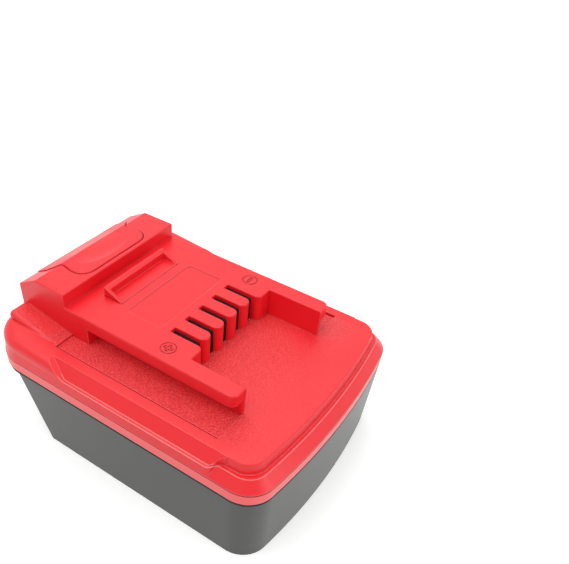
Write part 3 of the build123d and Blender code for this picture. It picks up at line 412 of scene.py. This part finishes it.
# Heights where the painted shade in the gap begins and ends
line_foot = (0.0261, 0.0264)
line_top = (0.0268, 0.0271)
bay_end = (0.034, 0.0345)
bay_side = (0.0325, 0.033)
flat_normal = (0.75, 0.95)
wall_grain = 0.00002
flat_grain = 0.00005
fine_depth = 0.000015
base_black = Finish("base_black")
base_normal_up = base_black.split(base_black.node("NewGeometry", {}, {}, "Normal"))[2]
flat_face = base_black.rise(base_black.size(base_normal_up), *flat_normal)
side_face = 1.0 - flat_face
inside_x = base_black.fall(base_black.across, *bay_end)
inside_y = base_black.fall(base_black.size(base_black.along), *bay_side)
# Painted shade on the walls of the battery bay
bay_wall_shade = inside_x * inside_y * side_face
# Painted shade in the gap between the shells, dark and rough
above_foot = base_black.rise(base_black.height, *line_foot)
gap_shade = above_foot * base_black.fall(base_black.height, *line_top) * side_face
coarse = base_black.noise(scale=1900.0, detail=1.5, roughness=0.6)
fine = base_black.noise(scale=4600.0, detail=1.0, roughness=0.5)
drift = base_black.noise(scale=45.0, detail=3.0, roughness=0.5)
coarse_relief = base_black.bump(
    coarse, wall_grain + flat_grain * flat_face, base_black.eased(edge_radius)
)
base_black.set(
    # Coats: random drift and grain, painted shade on the bay's walls, a painted highlight along
    # edges and painted shade in the gap between the shells
    Base_Color=base_black.coated(
        black_grey,
        (0.35 * drift + 0.25 * coarse, black_deep),
        (0.75 * bay_wall_shade, black_deep),
        (0.3 * base_black.edges(edge_radius), black_edge_highlight),
        (gap_shade, gap_shade_black),
    ),
    Roughness=0.27 + 0.1 * fine + 0.6 * gap_shade,
    Normal=base_black.bump(fine, fine_depth, coarse_relief),
)
base_black.cover(nodes["base_shell"])

# Inlet blades: stamped from nickel-plated steel sheet and clamped upright in their carrier. The
# fine rolling lines of the sheet run along them, and their sheared edges are duller.
plate_bright = (0.74, 0.73, 0.70, 1.0)
plate_dull = (0.50, 0.49, 0.46, 1.0)
sheet_edge = 0.00015
rolling_depth = 0.000006
plated_steel = Finish("plated_steel")
along_rolling = plated_steel.stretched(1.0, 1.0, 22.0)
rolled = plated_steel.noise(scale=400.0, detail=3.0, roughness=0.6, where=along_rolling)
handled = plated_steel.noise(scale=160.0, detail=3.0, roughness=0.55)
sheared = plated_steel.edges(sheet_edge)
plated_steel.set(
    Base_Color=plated_steel.tint(0.4 * rolled + 0.3 * handled, plate_bright, plate_dull),
    Metallic=1.0,
    Roughness=0.2 + 0.16 * rolled + 0.12 * handled + 0.1 * sheared,
    Normal=plated_steel.bump(rolled, rolling_depth, plated_steel.eased(sheet_edge)),
)
plated_steel.cover(nodes["inlet_blade_negative"], nodes["inlet_blade_positive"])

# Terminal block, blade carrier, clamp and spring plate: moulded in black glass-filled nylon and
# screwed to the shells. They are semi-matt, with faint flow marks, the fibres' pale specks and a
# painted highlight along their edges.
nylon_black = (0.018, 0.018, 0.019, 1.0)
# The fibres' pale specks, also used for the painted highlight along edges
nylon_speck_and_highlight = (0.075, 0.075, 0.078, 1.0)
nylon_edge = 0.00025
speck_noise = (0.66, 0.76)
flow_depth = 0.00003
filled_nylon = Finish("filled_nylon")
along_flow = filled_nylon.stretched(0.4, 1.0, 1.0)
flow = filled_nylon.noise(scale=240.0, detail=4.0, roughness=0.6, where=along_flow)
fibres = filled_nylon.noise(scale=5200.0, detail=1.0, roughness=0.5)
speck = filled_nylon.rise(fibres, *speck_noise)
# Painted highlight along sharp edges
nylon_edge_highlight = filled_nylon.edges(nylon_edge)
filled_nylon.set(
    Base_Color=filled_nylon.tint(0.5 * speck + 0.35 * nylon_edge_highlight, nylon_black, nylon_speck_and_highlight),
    Roughness=0.5 + 0.2 * flow,
    Specular_IOR_Level=0.25,
    Normal=filled_nylon.bump(flow, flow_depth, filled_nylon.eased(nylon_edge)),
)
filled_nylon.cover(
    nodes["terminal_block"], nodes["blade_carrier"], nodes["blade_clamp"], nodes["spring_plate"]
)

# Contact clips: bent from tinned brass strip, each held in its own slot of the terminal block. The
# tin is thin in patches and on the edges, where the brass shows through.
tin_grey = (0.66, 0.64, 0.58, 1.0)
brass_yellow = (0.70, 0.50, 0.20, 1.0)
clip_edge = 0.00015
clip_worn_radius = 0.0002
thin_noise = (0.45, 0.7)
strip_depth = 0.000005
tinned_brass = Finish("tinned_brass")
along_strip = tinned_brass.stretched(18.0, 18.0, 1.0)
strip = tinned_brass.noise(scale=500.0, detail=3.0, roughness=0.6, where=along_strip)
patches = tinned_brass.noise(scale=700.0, detail=3.0, roughness=0.6)
thin_tin = tinned_brass.rise(patches, *thin_noise)
clip_worn = tinned_brass.edges(clip_worn_radius)
tinned_brass.set(
    Base_Color=tinned_brass.tint(0.35 * thin_tin + 0.6 * clip_worn, tin_grey, brass_yellow),
    Metallic=1.0,
    Roughness=0.26 + 0.2 * strip,
    Normal=tinned_brass.bump(strip, strip_depth, tinned_brass.eased(clip_edge)),
)
tinned_brass.cover(
    nodes["contact_clip_positive"], nodes["contact_clip_sense"], nodes["contact_clip_negative"]
)

# Screws: thread-forming screws for plastic, with a pan head, a six-lobe recess and a coarse thread,
# rolled from black-oxide steel. Each set stands for the plain screws of its CAD node.
thread_pitch = 0.0011
turns_per_ring = 0.1
round_points = 48
dome_rings = 9
rim_rings = 6
lobe_count = 6
# Shares of the head's radius
recess_share = 0.49
lobe_share = 0.085
dome_share = 0.86
# Shares of the head's height
recess_depth_share = 0.6
dome_drop_share = 0.16
rim_drop_share = 0.12
rim_roll_share = 0.45
# The recess's flat floor as a share of its radius, and the foot of its wall as a share of both
# its radius and its depth
floor_share = 0.6
foot_share = 0.97
# Shares of the shank's radius
root_share = 0.74
ridge_share = 0.25
point_share = 0.35
# The pointed end in pitches, and how far the ridge spreads and how sharply it rises
point_pitches = 1.6
ridge_spread = 0.1
ridge_sharpness = 1.6


def skin_over_rings(rings, first_tip, last_tip):
    """Points, quads and end triangles of a closed skin over rings of points.

    rings has the shape (rings, points round, 3). Each ring is joined to the next all the way
    round, and each end closes with a fan of triangles to its tip.
    """
    count, round_count = rings.shape[:2]
    index = np.arange(count * round_count).reshape(count, round_count)
    after = np.roll(index, -1, axis=1)
    quads = np.stack([index[:-1], after[:-1], after[1:], index[1:]], axis=-1).reshape(-1, 4)
    hub = np.full(round_count, count * round_count)
    first_fan = np.stack([hub, after[0], index[0]], axis=-1)
    last_fan = np.stack([hub + 1, index[-1], after[-1]], axis=-1)
    points = np.concatenate([rings.reshape(-1, 3), [first_tip, last_tip]])
    return points, quads, np.concatenate([first_fan, last_fan])


def piece_from_skins(name, skins):
    """One smooth object made of all the skins."""
    points = np.concatenate([skin[0] for skin in skins])
    faces = []
    used = 0
    for skin_points, quads, fans in skins:
        faces += (quads + used).tolist() + (fans + used).tolist()
        used += len(skin_points)
    mesh = bpy.data.meshes.new(name)
    mesh.from_pydata(points.tolist(), [], faces)
    mesh.polygons.foreach_set("use_smooth", np.ones(len(mesh.polygons), bool))
    mesh.update()
    piece = bpy.data.objects.new(name, mesh)
    bpy.context.scene.collection.objects.link(piece)
    return piece


def screw_skin(centre, outer_face, end, head_radius, head_height, shank_radius):
    """A screw from the floor of its recess, over its head and down its threaded shank.

    The recess is a circle whose radius swells once for each lobe in a turn. The head is a dome
    that rolls over to its underside. The shank's radius is its root plus a sharp ridge that
    climbs by one pitch in each turn, and fades out under the head and at the tip. Each array has
    one row for each ring and one column for each point round it.
    """
    turn = np.linspace(0.0, 2.0 * np.pi, round_points, endpoint=False)
    direction = np.sign(end - outer_face)
    length = abs(end - outer_face)
    lobe = head_radius * (recess_share + lobe_share * np.cos(lobe_count * turn))
    recess_depth = recess_depth_share * head_height
    recess_radius = np.stack([floor_share * lobe, foot_share * lobe])
    recess_drop = recess_depth * np.stack([np.ones_like(turn), np.full_like(turn, foot_share)])
    outward = np.linspace(0.0, 1.0, dome_rings)[:, None]
    dome_radius = lobe * (1.0 - outward) + dome_share * head_radius * outward
    dome_drop = dome_drop_share * head_height * (dome_radius / head_radius) ** 2
    roll_over = np.linspace(0.0, np.pi / 2, rim_rings)[1:, None] + 0.0 * turn
    rim_radius = head_radius * (dome_share + (1.0 - dome_share) * np.sin(roll_over))
    rim_drop = head_height * (rim_drop_share + rim_roll_share * (1.0 - np.cos(roll_over)))
    under_radius = np.stack([np.full_like(turn, head_radius), np.full_like(turn, shank_radius)])
    under_drop = np.full_like(under_radius, head_height)
    steps = int((length - head_height) / (thread_pitch * turns_per_ring))
    down = np.linspace(head_height, length, steps)[1:, None] + 0.0 * turn
    wave = np.cos(2.0 * np.pi * down / thread_pitch - turn)
    ridge = np.clip((wave + ridge_spread) / (1.0 + ridge_spread), 0.0, 1.0) ** ridge_sharpness
    run_in = np.clip((down - head_height) / thread_pitch, 0.0, 1.0)
    run_out = np.clip((length - down) / thread_pitch, 0.0, 1.0)
    point = np.clip(1.0 - (length - down) / (point_pitches * thread_pitch), 0.0, 1.0)
    thread = root_share + ridge_share * ridge * run_in * run_out
    shank = shank_radius * thread * (1.0 - point_share * point**2)
    radius = np.concatenate([recess_radius, dome_radius, rim_radius, under_radius, shank])
    drop = np.concatenate([recess_drop, dome_drop, rim_drop, under_drop, down])
    rings = np.stack([
        centre[0] + radius * np.cos(turn),
        centre[1] + direction * radius * np.sin(turn),
        outer_face + direction * drop,
    ], axis=-1)
    return skin_over_rings(rings, (*centre, outer_face + direction * recess_depth), (*centre, end))


oxide_black = (0.022, 0.022, 0.024, 1.0)
oxide_grey = (0.16, 0.16, 0.165, 1.0)
oxide_edge = 0.00015
oxide_depth = 0.000006
black_oxide = Finish("black_oxide")
oxide_patch = black_oxide.noise(scale=900.0, detail=3.0, roughness=0.6)
oxide_worn = black_oxide.edges(oxide_edge)
black_oxide.set(
    Base_Color=black_oxide.tint(0.3 * oxide_patch + 0.6 * oxide_worn, oxide_black, oxide_grey),
    Metallic=0.85,
    Roughness=0.34 + 0.18 * oxide_patch,
    Normal=black_oxide.bump(oxide_patch, oxide_depth),
)
# Head radius, head height and shank radius of the two sizes of screw
case_screw = (0.00245, 0.0015, 0.0014)
inner_screw = (0.0021, 0.0013, 0.0011)
# Each node's screws: their size, whether they point up, and where they stand beside the middle
screw_sets = {
    "rim_screws": (case_screw, True, ((0.00025, 0.03435), (0.04155, 0.0315))),
    "shelf_screws": (case_screw, True, ((-0.04235, 0.0267),)),
    "spring_plate_screws": (inner_screw, True, ((-0.02345, 0.0238),)),
    "terminal_block_screws": (inner_screw, True, ((0.00785, 0.0244),)),
    "blade_clamp_screws": (inner_screw, False, ((0.0222, 0.0192),)),
}
for name, (dimensions, points_up, places) in screw_sets.items():
    low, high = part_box(name)
    outer_face, end = (low.z, high.z) if points_up else (high.z, low.z)
    skins = []
    for x, y in places:
        skins.append(screw_skin((x, y), outer_face, end, *dimensions))
        skins.append(screw_skin((x, -y), outer_face, end, *dimensions))
    threaded = piece_from_skins("threaded_" + name, skins)
    black_oxide.cover(threaded)
    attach(threaded, "housing")
    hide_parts(name)

# Latch springs: wound from bright music wire, with one closed turn at each end.
wire_radius = 0.0003
coil_radius = 0.0026
coil_turns = 7.0
closed_turns = 0.9
closed_rise = 2.1 * wire_radius
points_per_turn = 60
wire_points = 12


def coil_skin(low, high):
    """A round wire carried along a helix that is nearly flat in its first and last turn.

    The line's angle grows evenly. Its height gains just over a wire in each closed turn, and the
    rest in the turns between. The wire's ring lies across the line at every point.
    """
    turned = np.linspace(0.0, coil_turns, int(coil_turns * points_per_turn))
    bottom = low.z + wire_radius
    free_rise = high.z - wire_radius - bottom - 2.0 * closed_rise
    first = np.clip(turned / closed_turns, 0.0, 1.0)
    last = np.clip((turned - coil_turns + closed_turns) / closed_turns, 0.0, 1.0)
    between = np.clip((turned - closed_turns) / (coil_turns - 2.0 * closed_turns), 0.0, 1.0)
    angle = 2.0 * np.pi * turned
    outward = np.stack([np.cos(angle), np.sin(angle), 0.0 * angle], axis=-1)
    line = coil_radius * outward
    line[:, 0] += (low.x + high.x) / 2
    line[:, 1] += (low.y + high.y) / 2
    line[:, 2] = bottom + closed_rise * (first + last) + free_rise * between
    ahead = np.gradient(line, axis=0)
    ahead /= np.linalg.norm(ahead, axis=1)[:, None]
    upward = np.cross(outward, ahead)
    spin = np.linspace(0.0, 2.0 * np.pi, wire_points, endpoint=False)[None, :, None]
    ring = np.cos(spin) * outward[:, None] - np.sin(spin) * upward[:, None]
    return skin_over_rings(line[:, None] + wire_radius * ring, line[0], line[-1])


wire_bright = (0.62, 0.62, 0.63, 1.0)
wire_dull = (0.38, 0.38, 0.40, 1.0)
draw_depth = 0.000004
drawn_wire = Finish("drawn_wire")
draw_mark = drawn_wire.noise(scale=1500.0, detail=2.0, roughness=0.6)
drawn_wire.set(
    Base_Color=drawn_wire.tint(draw_mark, wire_bright, wire_dull),
    Metallic=1.0,
    Roughness=0.22 + 0.2 * draw_mark,
    Normal=drawn_wire.bump(draw_mark, draw_depth),
)
for name in ("latch_spring_left", "latch_spring_right"):
    low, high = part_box(name)
    coil = piece_from_skins("wound_" + name, [coil_skin(low, high)])
    drawn_wire.cover(coil)
    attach(coil, "housing")
    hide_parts(name)
    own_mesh(coil)

# Leads: stranded copper in soft insulation, from the blades' tabs to the clips' tails. They are
# stripped and tinned for a millimetre at each end.
lead_tones = {
    "lead_positive": (0.55, 0.016, 0.018, 1.0),
    "lead_negative": (0.014, 0.014, 0.015, 1.0),
}
rubbed_grey = (0.2, 0.2, 0.2, 1.0)
tinned_strands = (0.62, 0.60, 0.56, 1.0)
stripped_end = (0.001, 0.0012)
strand_depth = 0.00005
for name, tone in lead_tones.items():
    low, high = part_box(name)
    soft = Finish("insulation_" + name)
    nearer_end = soft.maths("MINIMUM", soft.across - low.x, high.x - soft.across)
    bare = soft.fall(nearer_end, *stripped_end)
    across_lay = soft.stretched(1.0, 9.0, 9.0)
    strands = soft.noise(scale=900.0, detail=1.0, roughness=0.5, where=across_lay)
    rub = soft.noise(scale=350.0, detail=4.0, roughness=0.6)
    soft.set(
        Base_Color=soft.coated(tone, (0.3 * rub, rubbed_grey), (bare, tinned_strands)),
        Metallic=bare,
        Roughness=0.45 + 0.15 * rub - 0.15 * bare,
        Normal=soft.bump(strands, strand_depth * bare),
    )
    soft.cover(nodes[name])

# Sense resistor: a lacquered ceramic body with plain colour rings. Its tinned wires bridge the
# sense clip and the negative clip.
lacquer_tan = (0.56, 0.42, 0.25, 1.0)
lacquer_brown = (0.45, 0.33, 0.19, 1.0)
wire_grey = (0.62, 0.61, 0.58, 1.0)
body_half = (0.00298, 0.00302)
ring_half = (0.00028, 0.00034)
lacquer_depth = 0.00001
# Each colour ring's place along the body, from its middle, and its colour
colour_rings = (
    (-0.0018, (0.16, 0.045, 0.012, 1.0)),
    (-0.0006, (0.012, 0.012, 0.012, 1.0)),
    (0.0018, (0.55, 0.38, 0.08, 1.0)),
)
low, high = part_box("sense_resistor")
centre_y = (low.y + high.y) / 2
lacquer = Finish("lacquered_resistor")
on_body = lacquer.fall(lacquer.size(lacquer.along - centre_y), *body_half)
haze = lacquer.noise(scale=800.0, detail=3.0, roughness=0.55)
resistor_colour = lacquer.tint(0.4 * haze, lacquer_tan, lacquer_brown)
for offset, tone in colour_rings:
    from_ring = lacquer.size(lacquer.along - (centre_y + offset))
    resistor_colour = lacquer.tint(lacquer.fall(from_ring, *ring_half), resistor_colour, tone)
lacquer.set(
    Base_Color=lacquer.tint(on_body, wire_grey, resistor_colour),
    Metallic=1.0 - on_body,
    Roughness=0.3 + 0.12 * haze,
    Normal=lacquer.bump(haze, lacquer_depth),
)
lacquer.cover(nodes["sense_resistor"])
